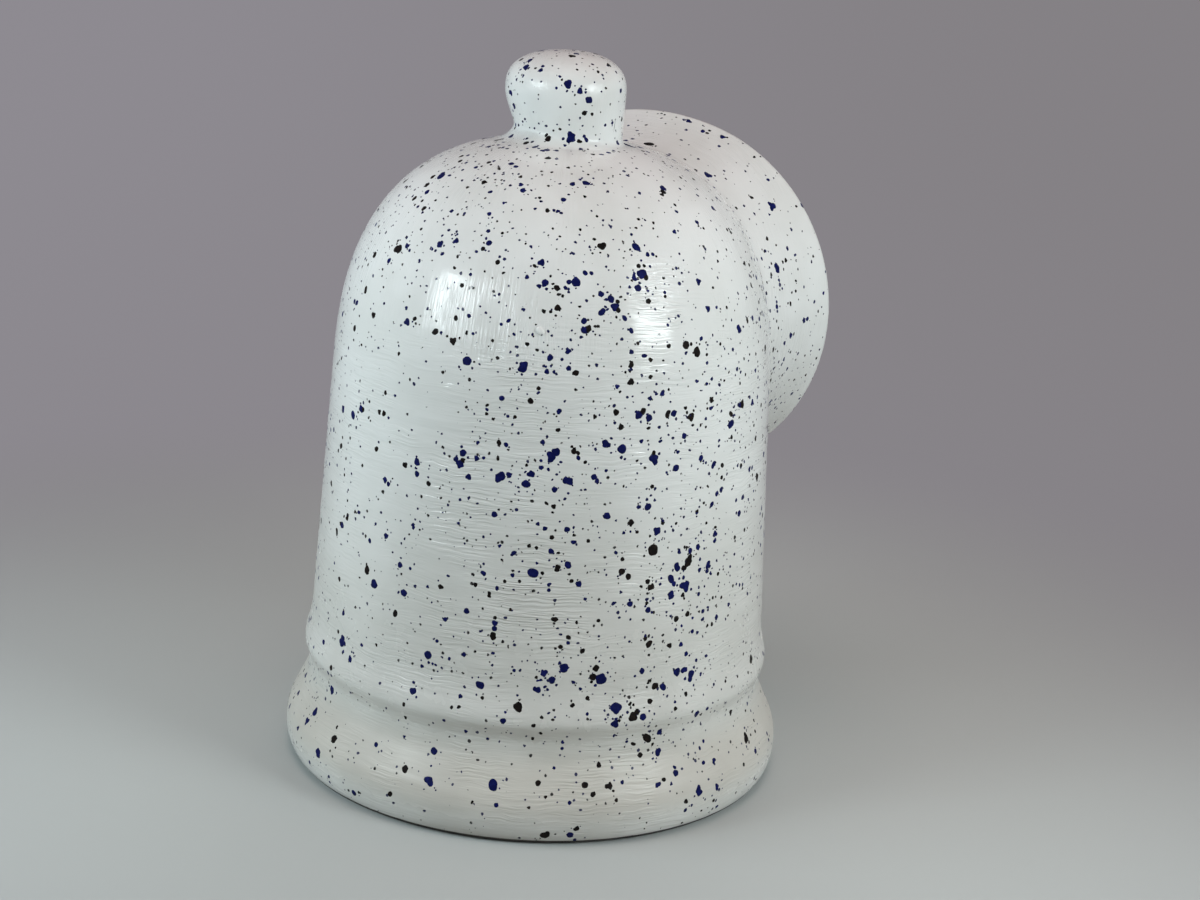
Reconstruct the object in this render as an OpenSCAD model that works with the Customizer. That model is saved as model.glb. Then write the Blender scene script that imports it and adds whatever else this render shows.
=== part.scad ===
// Salt pig: a thrown bell on a closed floor, a knob on its crown and a flared mouth collar on its front.
// Frame: +Z up, origin at the centre of the resting face, mouth towards -Y. Millimetres.

/* [Body] */
// Outer diameter of the wall just above the bead
body_d = 119.2; // [100:0.2:150]
// Outer diameter of the wall where the dome springs
shoulder_d = 112.2; // [94:0.2:140]
// Height at which the dome springs from the wall
spring_height = 104; // [98:1:128]
// Height of the dome's apex, under the knob
dome_apex = 163.2; // [157:0.2:195]
// How square the dome's shoulder is: 2 is an ellipse, more is squarer
dome_power = 2.6; // [1.8:0.05:3]
// Thickness of the thrown wall
wall = 6; // [4:0.5:9]
// Thickness of the clay at the crown
crown_wall = 8; // [5:0.5:12]

/* [Foot] */
// Widest diameter of the flared foot
foot_d = 131; // [122:1:160]
// Diameter of the foot where it touches the table
contact_d = 124.5; // [114:0.5:150]
// Height of the widest point of the foot
foot_lip_height = 7.2; // [4:0.2:12]
// Diameter at the bottom of the turned groove
groove_d = 119.8; // [112:0.2:150]
// Height of the groove
groove_height = 24.6; // [18:0.2:28]
// Diameter of the turned bead above the groove
bead_d = 122.4; // [116:0.2:155]
// Height of the bead's crest
bead_height = 30; // [28.6:0.2:34]
// Height at which the bead has run out into the wall
bead_end_height = 38.5; // [35:0.5:46]

/* [Floor] */
// Thickness of the floor slab
floor_t = 8; // [5:0.5:14]
// Leg of the coil in the corner between floor and wall
floor_coil = 8; // [4:0.5:14]

/* [Mouth] */
// Height at which the mouth's axis crosses the body's axis
mouth_height = 106.5; // [92:0.5:112]
// Upward tilt of the mouth's axis in degrees
mouth_tilt = 6; // [0:0.5:15]
// Distance from the body's axis to the front of the rim, along the mouth's axis
mouth_reach = 68.5; // [64:0.5:90]
// Inner diameter of the throat
throat_d = 81; // [60:1:84]
// Outer diameter of the flared rim
rim_d = 105; // [98:0.5:125]
// Thickness of the collar's wall
collar_wall = 5.5; // [4:0.5:8]
// How late the collar flares: 1 is a plain cone, more keeps the flare near the rim
flare_power = 3.5; // [1:0.5:6]

/* [Knob] */
// Widest diameter of the knob
knob_d = 30.2; // [24:0.2:40]
// Diameter of the knob's waist, where it stands on the crown
knob_neck_d = 26.6; // [20:0.2:32]
// Height of the knob above its seat
knob_height = 22; // [14:0.2:28]
// Height of the knob's widest point above its seat
knob_belly_height = 12.6; // [6:0.2:15]
// How square the knob's top is: 2 is an ellipse, more is flatter
knob_power = 2.4; // [1.8:0.1:4]

/* [Joins] */
// Slip gap between two pieces of clay that are luted together
slip_gap = 0.25; // [0.15:0.05:0.4]
// Leg of the coil smoothed into the valley round the collar
mouth_coil = 9; // [5:0.5:12]
// Height of the coil smoothed round the knob's root
knob_coil_height = 3; // [1.6:0.2:4]
// Width of the coil smoothed round the knob's root
knob_coil_width = 5; // [3:0.5:9]
// Thickness of a coil at its smoothed edge
coil_edge = 0.3; // [0.2:0.1:0.8]

/* [Colours] */
// Glaze on the outside
glaze_colour = "#e6eae8"; // [#e6eae8:white, #f0e9dc:cream]
// Bare clay on the floor and in the hidden joins
clay_colour = "#d8cdbd"; // [#d8cdbd:buff, #cfcac4:grey]

/* [Hidden] */

// Fineness of round surfaces and of the outlines' curves
$fn = 128;
curve_steps = 8;
dome_steps = 18;
lip_steps = 10;
coil_stations = 96;
coil_curve_steps = 6;
halvings = 26;
lean_step = 0.05;

// Radii that follow from the diameters
body_r = body_d/2;
shoulder_r = shoulder_d/2;
foot_r = foot_d/2;
contact_r = contact_d/2;
groove_r = groove_d/2;
bead_r = bead_d/2;
knob_r = knob_d/2;
knob_neck_r = knob_neck_d/2;
throat_r = throat_d/2;
rim_r = rim_d/2;

// The wall is a cone from the bead to the spring line, and its slope runs on through the dome
wall_slope = (body_r - shoulder_r)/(spring_height - bead_end_height);
dome_height = dome_apex - spring_height;

// The straight well stands a wall's thickness inside the narrowest of wall, groove and contact ring
well_r = min(body_r, groove_r, contact_r) - wall;

// Rise from 0 to 1 with level ends
function ease(v) = (1 - cos(180*v))/2;

// Share of the dome's base radius that is left at the share u of its height
function dome_share(u, power) = pow(max(0, 1 - pow(max(0, u), power)), 1/power);

function cone_r(z) = body_r - wall_slope*(z - bead_end_height);

// Outer radius of the bell at each height, foot to crown
function bell_r(z) =
    z < foot_lip_height ? contact_r + (foot_r - contact_r)*sqrt(1 - pow(1 - z/foot_lip_height, 2)) :
    z < groove_height ? foot_r + (groove_r - foot_r)
        *ease((z - foot_lip_height)/(groove_height - foot_lip_height)) :
    z < bead_height ? groove_r + (bead_r - groove_r)*ease((z - groove_height)/(bead_height - groove_height)) :
    z < bead_end_height ? cone_r(z) + (bead_r - cone_r(bead_height))
        *(1 - ease((z - bead_height)/(bead_end_height - bead_height))) :
    cone_r(z)*dome_share((z - spring_height)/dome_height, dome_power);

// Inner radius of the bell above its well
function cavity_r(z) =
    (cone_r(z) - wall)*dome_share((z - spring_height)/(dome_height - crown_wall), dome_power);

// Height at which the dome has a given radius
function dome_z(r) = spring_height + dome_height*dome_share(r/cone_r(dome_apex), dome_power);

// Change of the bell's radius per height, and a point of its outline moved out by a gap along the normal
function bell_lean(z) = (bell_r(z + lean_step) - bell_r(z - lean_step))/(2*lean_step);
function bell_edge(z, gap) =
    let (lean = bell_lean(z), k = gap/norm([1, lean])) [bell_r(z) + k, z - lean*k];

// The knob's seat is a flat on the crown, a little wider than the knob's neck
seat_height = dome_z(knob_neck_r + coil_edge);

// Radii of the coil round the knob's root, and the height on the dome at which the mouth's coil meets it
knob_coil_inner_r = max(knob_neck_r, knob_profile(knob_coil_height)) + slip_gap;
knob_coil_outer_r = knob_coil_inner_r + knob_coil_width;
mouth_coil_top = dome_z(knob_coil_outer_r + slip_gap + coil_edge);

// Heights from a to b in even steps, without b
function heights(a, b, steps) = [for (i = [0 : steps - 1]) a + (b - a)*i/steps];

// Heights over the dome, closer together towards the top
function dome_heights(top) =
    [for (i = [0 : dome_steps]) spring_height + (top - spring_height)*sin(90*i/dome_steps)];

foot_heights = concat(
    [for (i = [0 : curve_steps - 1]) foot_lip_height*(1 - cos(90*i/curve_steps))],
    heights(foot_lip_height, groove_height, curve_steps),
    heights(groove_height, bead_height, curve_steps),
    heights(bead_height, bead_end_height, curve_steps)
);
wall_heights = concat([bead_end_height], dome_heights(seat_height));

// Half outline of the bell as a solid form
module bell_outline() {
    polygon(concat(
        [[0, 0]],
        [for (z = concat(foot_heights, wall_heights)) [bell_r(z), z]],
        [[0, seat_height]]
    ));
}

// Half outline of the bell's wall and dome, grown by the slip gap, to trim the collar with
module saddle_outline() {
    polygon(concat(
        [[0, bead_end_height]],
        [for (z = wall_heights) bell_edge(z, slip_gap)],
        [[0, seat_height + slip_gap]]
    ));
}

// Half outline of the hollow: a straight well at the foot, then the wall and the dome
module cavity_outline() {
    cavity_top = dome_apex - crown_wall;
    polygon(concat(
        [[0, -wall], [well_r, -wall], [well_r, bead_end_height]],
        [for (z = dome_heights(cavity_top)) [cavity_r(z), z]]
    ));
}

// Places children on the mouth's axis, with their +Z along it
module on_mouth_axis() {
    translate([0, 0, mouth_height])
        rotate([90 - mouth_tilt, 0, 0])
            children();
}

module body_bell() {
    color(glaze_colour)
        difference() {
            rotate_extrude() bell_outline();
            rotate_extrude() cavity_outline();
            on_mouth_axis() cylinder(r = throat_r, h = mouth_reach + foot_r);
        }
}

module floor_slab() {
    color(clay_colour)
        cylinder(r = well_r - slip_gap, h = floor_t);
}

module floor_join_coil() {
    leg = floor_coil + coil_edge;
    color(clay_colour)
        rotate_extrude()
            translate([well_r - slip_gap, floor_t])
                difference() {
                    translate([-leg, 0]) square(leg);
                    translate([-leg, leg]) circle(r = floor_coil);
                }
}

// The collar's mid line flares from the throat to the rim; its ends are the walls' middles
collar_end = mouth_reach - collar_wall/2;
collar_mid_0 = throat_r + collar_wall/2;
collar_mid_1 = rim_r - collar_wall/2;
function collar_mid(s) = collar_mid_0 + (collar_mid_1 - collar_mid_0)*pow(s/collar_end, flare_power);
function collar_angle(s) =
    atan((collar_mid_1 - collar_mid_0)*flare_power*pow(s/collar_end, flare_power - 1)/collar_end);

// A point at the side of the mid line: side +1 is the outer face, -1 the inner one
function collar_point(s, side) =
    let (a = collar_angle(s), w = side*collar_wall/2) [collar_mid(s) + w*cos(a), s - w*sin(a)];

module collar_outline() {
    lip_angle = collar_angle(collar_end);
    s_list = heights(0, collar_end, 2*curve_steps);
    polygon(concat(
        [for (s = s_list) collar_point(s, 1)],
        [for (i = [0 : lip_steps])
            let (a = 180*i/lip_steps - lip_angle)
                [collar_mid_1 + collar_wall/2*cos(a), collar_end + collar_wall/2*sin(a)]],
        [for (i = [1 : len(s_list)]) collar_point(s_list[len(s_list) - i], -1)]
    ));
}

module mouth_collar() {
    color(glaze_colour)
        difference() {
            on_mouth_axis() rotate_extrude() collar_outline();
            rotate_extrude() saddle_outline();
        }
}

// Directions of the mouth's axis and of its upright radius
mouth_axis = [0, -cos(mouth_tilt), sin(mouth_tilt)];
mouth_up = [0, sin(mouth_tilt), cos(mouth_tilt)];
function spoke(t) = cos(t)*[1, 0, 0] + sin(t)*mouth_up;

// A point outside the collar at angle t round the mouth, grown by a gap
function on_collar(s, t, gap) =
    let (p = collar_point(s, 1)) [0, 0, mouth_height] + p[1]*mouth_axis + (p[0] + gap)*spoke(t);

// How far a point lies outside the bell, and the point beside it that stands a gap above the bell
function outside_bell(p) = norm([p[0], p[1]]) - bell_r(p[2]);
function above_bell(p, gap) =
    let (edge = bell_edge(p[2], gap), k = edge[0]/norm([p[0], p[1]])) [p[0]*k, p[1]*k, edge[1]];

// Distance along the collar at which it leaves the bell, by halving
function leave(t, low, high, n) =
    n == 0 ? (low + high)/2 :
    let (s = (low + high)/2)
        outside_bell(on_collar(s, t, 0)) < 0 ? leave(t, s, high, n - 1) : leave(t, low, s, n - 1);

// Outward normal of the bell at a point on it
function unit(v) = v/norm(v);
function bell_normal(p) = unit([p[0], p[1], -bell_lean(p[2])*norm([p[0], p[1]])]);

// One section of the coil: along the bell, over the hollow curve, and back along the collar
function coil_section(t) =
    let (
        s = leave(t, 0, collar_end, halvings),
        joint = on_collar(s, t, 0),
        n = bell_normal(joint),
        along_bell = unit(spoke(t) - (spoke(t)*n)*n),
        climb = along_bell[2],
        leg = climb > 0 ? min(mouth_coil, (mouth_coil_top - joint[2])/climb) : mouth_coil,
        run = min(mouth_coil, collar_end - s),
        bell_foot = [for (i = [0 : coil_curve_steps]) joint + leg*i/coil_curve_steps*along_bell],
        collar_run = [for (i = [coil_curve_steps : -1 : 1]) s + run*i/coil_curve_steps],
        a = above_bell(bell_foot[coil_curve_steps], slip_gap + coil_edge),
        b = on_collar(s + run, t, slip_gap + coil_edge),
        corner = joint + (slip_gap + coil_edge)*unit(n + spoke(t))
    )
    concat(
        [above_bell(on_collar(s, t, slip_gap), 2*slip_gap)],
        [for (i = [1 : coil_curve_steps]) above_bell(bell_foot[i], slip_gap)],
        [for (i = [0 : coil_curve_steps])
            let (v = i/coil_curve_steps) pow(1 - v, 2)*a + 2*v*(1 - v)*corner + v*v*b],
        [for (q = collar_run) on_collar(q, t, slip_gap)]
    );

// A closed ring through sections that all have as many points
module ring(sections) {
    n = len(sections);
    m = len(sections[0]);
    points = [for (section = sections) each section];
    faces = [
        for (i = [0 : n - 1], j = [0 : m - 1])
            let (k = (i + 1) % n, l = (j + 1) % m)
                each [[i*m + j, k*m + l, k*m + j], [i*m + j, i*m + l, k*m + l]]
    ];
    polyhedron(points = points, faces = faces);
}

module mouth_join_coil() {
    color(glaze_colour)
        ring([for (i = [0 : coil_stations - 1]) coil_section(360*i/coil_stations)]);
}

// Radius of the knob at the height h above its seat: a waist, a belly and a flattened top
function knob_profile(h) =
    h < knob_belly_height ? knob_neck_r + (knob_r - knob_neck_r)*ease(h/knob_belly_height) :
    knob_r*dome_share((h - knob_belly_height)/(knob_height - knob_belly_height), knob_power);

module knob() {
    color(glaze_colour)
        translate([0, 0, seat_height])
            rotate_extrude()
                polygon(concat(
                    [[0, 0]],
                    [for (h = heights(0, knob_belly_height, curve_steps)) [knob_profile(h), h]],
                    [for (i = [0 : 2*curve_steps - 1])
                        let (h = knob_belly_height + (knob_height - knob_belly_height)*sin(45*i/curve_steps))
                            [knob_profile(h), h]],
                    [[0, knob_height]]
                ));
}

module knob_join_coil() {
    inner_z = dome_z(knob_coil_inner_r);
    outer_z = dome_z(knob_coil_outer_r);
    top = [knob_coil_inner_r, seat_height + knob_coil_height];
    corner = bell_edge(inner_z, slip_gap + coil_edge);
    edge = bell_edge(outer_z, slip_gap + coil_edge);
    color(glaze_colour)
        rotate_extrude()
            polygon(concat(
                [[knob_coil_inner_r, inner_z + slip_gap]],
                [for (i = [1 : curve_steps])
                    bell_edge(inner_z + (outer_z - inner_z)*i/curve_steps, slip_gap)],
                [for (i = [0 : curve_steps])
                    let (v = i/curve_steps) pow(1 - v, 2)*edge + 2*v*(1 - v)*corner + v*v*top]
            ));
}

body_bell();
floor_slab();
floor_join_coil();
mouth_collar();
mouth_join_coil();
knob();
knob_join_coil();
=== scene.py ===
import math

import bpy
import numpy as np
from mathutils import Matrix, Vector
from mathutils.bvhtree import BVHTree


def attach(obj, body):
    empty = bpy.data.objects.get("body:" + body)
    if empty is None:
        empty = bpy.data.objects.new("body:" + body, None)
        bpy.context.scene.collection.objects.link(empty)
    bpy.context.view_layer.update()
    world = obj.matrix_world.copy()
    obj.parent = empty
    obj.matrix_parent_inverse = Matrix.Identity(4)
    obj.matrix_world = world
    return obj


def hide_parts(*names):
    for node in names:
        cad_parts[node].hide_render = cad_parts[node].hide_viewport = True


# Looks of the salt pig: a thrown bell with a knob and a flared mouth, brushed with a white glaze and spattered
# with navy and dark brown specks. Metres, +Z up, mouth towards -Y, the resting face at Z = 0.
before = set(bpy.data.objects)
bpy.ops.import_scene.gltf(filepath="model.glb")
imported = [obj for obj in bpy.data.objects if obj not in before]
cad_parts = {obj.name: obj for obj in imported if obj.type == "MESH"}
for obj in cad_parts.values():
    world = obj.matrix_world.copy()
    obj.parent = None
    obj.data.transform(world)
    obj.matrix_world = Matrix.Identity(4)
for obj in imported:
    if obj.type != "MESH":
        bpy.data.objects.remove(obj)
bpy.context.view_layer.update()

MM = 0.001

# Sizes of the pot, the same as the solids have
BODY_R = 59.6 * MM
SHOULDER_R = 56.1 * MM
SPRING_HEIGHT = 104 * MM
DOME_APEX = 163.2 * MM
DOME_POWER = 2.6
WALL = 6 * MM
CROWN_WALL = 8 * MM
FOOT_R = 65.5 * MM
CONTACT_R = 62.25 * MM
FOOT_LIP_HEIGHT = 7.2 * MM
GROOVE_R = 59.9 * MM
GROOVE_HEIGHT = 24.6 * MM
BEAD_R = 61.2 * MM
BEAD_HEIGHT = 30 * MM
BEAD_END_HEIGHT = 38.5 * MM
FLOOR_T = 8 * MM
FLOOR_COIL = 8 * MM
MOUTH_HEIGHT = 106.5 * MM
MOUTH_TILT = math.radians(6)
MOUTH_REACH = 68.5 * MM
THROAT_R = 40.5 * MM
RIM_R = 52.5 * MM
COLLAR_WALL = 5.5 * MM
FLARE_POWER = 3.5
KNOB_R = 15.1 * MM
KNOB_NECK_R = 13.3 * MM
KNOB_HEIGHT = 22 * MM
KNOB_BELLY_HEIGHT = 12.6 * MM
KNOB_POWER = 2.4

# Small clearances and roundings
SLIP_GAP = 0.25 * MM
SEAT_CLEARANCE = 0.3 * MM
HOLE_CLEARANCE = 4.8 * MM
COLLAR_ROOT = 2.5 * MM
THROAT_SOFT = 4 * MM
THROAT_TAIL = 1.2 * MM
KNOB_ROOT = 2 * MM
SLAB_SOFT = 0.8 * MM
SLAB_MIDDLE = 2 * MM
FLOOR_COIL_EDGE = 0.3 * MM

# What follows from them
WALL_SLOPE = (BODY_R - SHOULDER_R) / (SPRING_HEIGHT - BEAD_END_HEIGHT)
DOME_HEIGHT = DOME_APEX - SPRING_HEIGHT
CAVITY_APEX = DOME_APEX - CROWN_WALL
WELL_R = BODY_R - WALL
COLLAR_END = MOUTH_REACH - COLLAR_WALL / 2
COLLAR_MID_0 = THROAT_R + COLLAR_WALL / 2
COLLAR_MID_1 = RIM_R - COLLAR_WALL / 2
HOLE_R = THROAT_R + HOLE_CLEARANCE

# How the clay departs from a true turned form
BODY_WOBBLE = 0.30 * MM
OVAL_PHASE = 0.6
LOBES = 0.5
LOBES_PHASE = 1.9
LOBES_TWIST_PER_METRE = 25
SWELL = 0.6
SWELL_PHASE = 0.8
SWELL_LENGTH = 23 * MM
THROWING_DEPTH = 0.03 * MM
THROWING_PITCH = 6.5 * MM
THROWING_SWAY = 0.6
RIDGE_DEPTH = 0.045 * MM
RIDGE_PITCH = 1.25 * MM
RIDGE_LENGTH = 13 * MM
RIDGE_WANDER = 1.2 * MM
RIDGE_FADE = 45 * MM
BROAD_RIDGES = 0.9
RIDGE_PATCH_BASE = 0.55
RIDGE_PATCH_DRIFT = 0.45
RIM_WOBBLE = 0.30 * MM
RIM_WOBBLE_FROM = 0.45
RIM_WOBBLE_OVER = 0.55
RIM_OVAL_PHASE = 1.1
RIM_LOBES = 0.6
RIM_LOBES_PHASE = 0.7
RIM_DIP = 0.5 * MM
RIM_DIP_ANGLE = math.radians(100)
RIM_DIP_SPREAD = math.radians(18)
KNOB_ROOT_LEAN = -0.8 * MM
KNOB_TOP_LEAN = 0.65 * MM
KNOB_OVAL = 0.12 * MM
KNOB_OVAL_PHASE = 0.4

# Slow noise over the pot: cells round it, cells up it, and seed
WANDER_LATTICE = (7, 9, 11)
PATCH_LATTICE = (9, 8, 14)
SPATTER_LATTICE = (9, 5, 21)
FINE_RIDGE_SEED = 12
BROAD_RIDGE_SEED = 13

# How the smoothed coils run out onto their neighbours
PROUD = 0.02 * MM
SINK = 0.03 * MM
UNDERSIDE = 0.5 * MM
FEATHER = 4 * MM
FEATHER_ROWS = 7
THROAT_SINK = 0.12 * MM
COIL_PULL = 0.52
MOUTH_COIL_LEG = 5.0 * MM
MOUTH_COIL_RISE = 2.0 * MM
KNOB_COIL_WIDTH = 3.4 * MM
KNOB_COIL_HEIGHT = 2.5 * MM
KNOB_COIL_LEAN = 0.55
KNOB_COIL_FEATHER = 3 * MM

# The photograph's camera, for an image of 1200 x 900
IMAGE_WIDTH = 1200
IMAGE_HEIGHT = 900
IMAGE_FOCAL = 2100
SENSOR = 36.0
CLIP_START = 0.01
CAMERA_DISTANCE = 0.5281
CAMERA_HEIGHT = 0.2290
CAMERA_YAW = math.radians(1.49)
CAMERA_PITCH = math.radians(15.52)
CAMERA_ROLL = math.radians(3.76)
MOUTH_TURN = math.radians(24.56)

# Fineness of the meshes
BODY_SEGMENTS = 208
MOUTH_SEGMENTS = 240
KNOB_SEGMENTS = 144
FLOOR_SEGMENTS = 144
CUTTER_SEGMENTS = 96
CROWN_STEPS = 92
WALL_STEP = 0.34 * MM
FOOT_STEPS = 76
LIP_STEPS = 14
RING_STEPS = 6
WELL_STEPS = 10
INNER_WALL_STEPS = 20
VAULT_STEPS = 40
COLLAR_STEPS = 44
ROLL_STEPS = 16
THROAT_STEPS = 40
ROUNDING_STEPS = 9
MOUTH_COIL_STEPS = 17
KNOB_COIL_STEPS = 15
KNOB_NECK_STEPS = 30
KNOB_TOP_STEPS = 40
SLAB_STEPS = 12
SLAB_EDGE_STEPS = 5
FLOOR_COIL_STEPS = 13
SLOPE_STEP = 0.05 * MM
HALVINGS = 40


# Outlines

def stacked(*columns):
    return np.stack(columns, axis=-1)


def turns(count):
    """Even angles all the way round."""
    return np.linspace(0, 2 * np.pi, count, endpoint=False)


def ease(v):
    """Rise from 0 to 1 with level ends."""
    return (1 - np.cos(np.pi * np.clip(v, 0, 1))) / 2


def dome_share(u, power):
    """Share of a dome's base radius that is left at the share u of its height."""
    return np.maximum(0, 1 - np.maximum(0, u) ** power) ** (1 / power)


def cone_r(z):
    return BODY_R - WALL_SLOPE * (z - BEAD_END_HEIGHT)


def bell_r(z):
    """Outer radius of the bell at each height, foot to crown."""
    z = np.asarray(z, float)
    lip = CONTACT_R + (FOOT_R - CONTACT_R) * np.sqrt(np.maximum(0, 1 - (1 - z / FOOT_LIP_HEIGHT) ** 2))
    flare = FOOT_R + (GROOVE_R - FOOT_R) * ease((z - FOOT_LIP_HEIGHT) / (GROOVE_HEIGHT - FOOT_LIP_HEIGHT))
    bead = GROOVE_R + (BEAD_R - GROOVE_R) * ease((z - GROOVE_HEIGHT) / (BEAD_HEIGHT - GROOVE_HEIGHT))
    fade = 1 - ease((z - BEAD_HEIGHT) / (BEAD_END_HEIGHT - BEAD_HEIGHT))
    run_out = cone_r(z) + (BEAD_R - cone_r(BEAD_HEIGHT)) * fade
    dome = cone_r(z) * dome_share((z - SPRING_HEIGHT) / DOME_HEIGHT, DOME_POWER)
    zones = [z < FOOT_LIP_HEIGHT, z < GROOVE_HEIGHT, z < BEAD_HEIGHT, z < BEAD_END_HEIGHT]
    return np.select(zones, [lip, flare, bead, run_out], dome)


def cavity_r(z):
    """Inner radius of the bell."""
    z = np.asarray(z, float)
    dome = (cone_r(z) - WALL) * dome_share((z - SPRING_HEIGHT) / (CAVITY_APEX - SPRING_HEIGHT), DOME_POWER)
    return np.where(z < BEAD_END_HEIGHT, WELL_R, dome)


def dome_z(r):
    """Height at which the dome has a given radius."""
    return SPRING_HEIGHT + DOME_HEIGHT * dome_share(r / cone_r(DOME_APEX), DOME_POWER)


SEAT_HEIGHT = float(dome_z(KNOB_NECK_R + SEAT_CLEARANCE))


def knob_profile(h):
    """Radius of the knob at the height h above its seat."""
    h = np.asarray(h, float)
    waist = KNOB_NECK_R + (KNOB_R - KNOB_NECK_R) * ease(h / KNOB_BELLY_HEIGHT)
    top = KNOB_R * dome_share((h - KNOB_BELLY_HEIGHT) / (KNOB_HEIGHT - KNOB_BELLY_HEIGHT), KNOB_POWER)
    return np.where(h < KNOB_BELLY_HEIGHT, waist, top)


def collar_mid(s):
    return COLLAR_MID_0 + (COLLAR_MID_1 - COLLAR_MID_0) * (np.maximum(0, s) / COLLAR_END) ** FLARE_POWER


def collar_angle(s):
    slope = (COLLAR_MID_1 - COLLAR_MID_0) * FLARE_POWER / COLLAR_END
    return np.arctan(slope * (np.maximum(0, s) / COLLAR_END) ** (FLARE_POWER - 1))


def collar_point(s, side):
    """Radius and reach of a point beside the collar's mid line: side 1 is the outer face, -1 the inner one."""
    a = collar_angle(s)
    w = side * COLLAR_WALL / 2
    return collar_mid(s) + w * np.cos(a), s - w * np.sin(a)


# The hand in the clay

def lattice_noise(u, v, cells_u, cells_v, seed):
    """Smooth noise from -1 to 1 over the shares u, which closes on itself, and v."""
    grid = np.random.default_rng(seed).uniform(-1, 1, (cells_u, cells_v + 3))
    a = np.asarray(u) % 1 * cells_u
    b = np.clip(v, 0, 1) * cells_v
    i = np.floor(a).astype(int)
    j = np.floor(b).astype(int)
    fa = ease(a - i)
    fb = ease(b - j)
    low = grid[i % cells_u, j] * (1 - fa) + grid[(i + 1) % cells_u, j] * fa
    high = grid[i % cells_u, j + 1] * (1 - fa) + grid[(i + 1) % cells_u, j + 1] * fa
    return low * (1 - fb) + high * fb


def body_wobble(theta, z):
    """Slow swell of the thrown wall, level at the resting face."""
    oval = np.cos(2 * theta + OVAL_PHASE)
    lobes = LOBES * np.cos(3 * theta + LOBES_TWIST_PER_METRE * z + LOBES_PHASE)
    swell = SWELL * np.sin(z / SWELL_LENGTH + np.cos(theta + SWELL_PHASE))
    return -BODY_WOBBLE * (oval + lobes + swell) / 2 * ease(z / FOOT_LIP_HEIGHT)


def body_ridges(theta, z):
    """Throwing rings and the ridges that a bristle brush left, lying along its strokes round the wall."""
    u = theta / (2 * np.pi)
    v = z / DOME_APEX
    wander = RIDGE_WANDER * lattice_noise(u, v, *WANDER_LATTICE)
    rows = round(DOME_APEX / RIDGE_PITCH)
    strokes = round(2 * np.pi * BODY_R / RIDGE_LENGTH)
    fine = lattice_noise(u, (z + wander) / DOME_APEX, strokes, rows, FINE_RIDGE_SEED)
    broad = lattice_noise(u, (z + 2 * wander) / DOME_APEX, strokes // 2, rows // 3, BROAD_RIDGE_SEED)
    patch = RIDGE_PATCH_BASE + RIDGE_PATCH_DRIFT * lattice_noise(u, v, *PATCH_LATTICE)
    brush = RIDGE_DEPTH * (fine + BROAD_RIDGES * broad) * patch
    rings = THROWING_DEPTH * np.sin(2 * np.pi * z / THROWING_PITCH + THROWING_SWAY * np.sin(theta))
    on_wall = 1 - ease((z - SPRING_HEIGHT) / RIDGE_FADE)
    return -(brush + rings) * on_wall * ease(z / FOOT_LIP_HEIGHT)


def bell_point(theta, z, lift=0.0):
    """A point on the bell as the hand left it, or lifted off it along its outline's normal."""
    lean = (bell_r(z + SLOPE_STEP) - bell_r(z - SLOPE_STEP)) / (2 * SLOPE_STEP)
    k = (body_wobble(theta, z) + body_ridges(theta, z) + lift) / np.hypot(1, lean)
    r = bell_r(z) + k
    return stacked(r * np.cos(theta), r * np.sin(theta), z - lean * k)


# Meshes

def add_object(name, vertices, faces, materials, face_slots=None):
    mesh = bpy.data.meshes.new(name)
    mesh.from_pydata([tuple(v) for v in vertices], [], faces)
    for material in materials:
        mesh.materials.append(material)
    if face_slots is not None:
        mesh.polygons.foreach_set("material_index", face_slots)
    mesh.polygons.foreach_set("use_smooth", [True] * len(mesh.polygons))
    mesh.validate()
    mesh.update()
    obj = bpy.data.objects.new(name, mesh)
    bpy.context.scene.collection.objects.link(obj)
    return obj


def grid_faces(rows, columns, rows_close):
    """Quads of a grid whose columns close on themselves, and whose rows do if asked."""
    i, j = np.meshgrid(np.arange(rows if rows_close else rows - 1), np.arange(columns), indexing="ij")
    k = (i + 1) % rows
    m = (j + 1) % columns
    quads = stacked(i * columns + j, i * columns + m, k * columns + m, k * columns + j)
    return quads.reshape(-1, 4).tolist()


def turned_piece(name, points, materials, row_slots=None):
    """A closed form from a grid of points: one row per ring, the first and last rings closed by a fan."""
    rows, columns = points.shape[:2]
    vertices = points.reshape(-1, 3)
    first = points[0].mean(axis=0)
    last = points[-1].mean(axis=0)
    vertices = np.concatenate([vertices, [first, last]])
    start = rows * columns
    faces = grid_faces(rows, columns, False)
    end = (rows - 1) * columns
    faces += [(start, (j + 1) % columns, j) for j in range(columns)]
    faces += [(start + 1, end + j, end + (j + 1) % columns) for j in range(columns)]
    face_slots = None
    if row_slots is not None:
        slots = np.repeat(row_slots, columns)
        face_slots = np.concatenate([slots, np.zeros(2 * columns, int)]).astype(int).tolist()
    return add_object(name, vertices, faces, materials, face_slots)


def ring_piece(name, sections, materials):
    """A closed ring from sections that all have as many points: one row per section point."""
    rows, columns = sections.shape[:2]
    faces = grid_faces(rows, columns, True)
    return add_object(name, sections.reshape(-1, 3), faces, materials)


def face_outwards(obj):
    """Turns the faces out, whichever way they were strung."""
    mesh = obj.data
    mesh.calc_loop_triangles()
    corners = np.zeros(len(mesh.loop_triangles) * 3, int)
    mesh.loop_triangles.foreach_get("vertices", corners)
    places = np.zeros(len(mesh.vertices) * 3)
    mesh.vertices.foreach_get("co", places)
    a, b, c = places.reshape(-1, 3)[corners].reshape(-1, 3, 3).transpose(1, 0, 2)
    volume = np.einsum("ij,ij->i", a, np.cross(b, c)).sum()
    if volume < 0:
        mesh.flip_normals()
    return obj


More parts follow.
